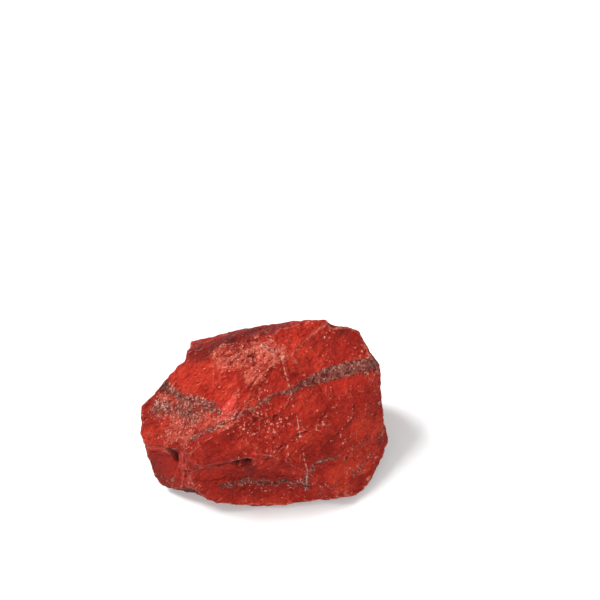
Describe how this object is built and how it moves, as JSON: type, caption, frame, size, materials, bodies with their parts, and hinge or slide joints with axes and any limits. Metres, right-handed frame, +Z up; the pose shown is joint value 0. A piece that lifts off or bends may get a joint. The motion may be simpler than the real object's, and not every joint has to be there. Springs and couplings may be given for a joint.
{
  "type": "red jasper rough stone",
  "caption": "Rough, hammer-broken lump of red jasper with a long crest, stepped fracture faces, a notch at one corner and a flat face to rest on.",
  "frame": {"origin": "on the ground under the middle of the stone's bounding box", "axes": "+X along the stone's length towards its thick, high end; +Y across it, away from the stepped front; +Z up from the resting face"},
  "size_m": [0.05, 0.0342, 0.0238],
  "materials": {
    "jasper": "broken, waxy to dull, iron red with a grey-brown band and thin pale veins"
  },
  "bodies": {
    "root": {"red_jasper_stone": "jasper"}
  },
  "joints": []
}
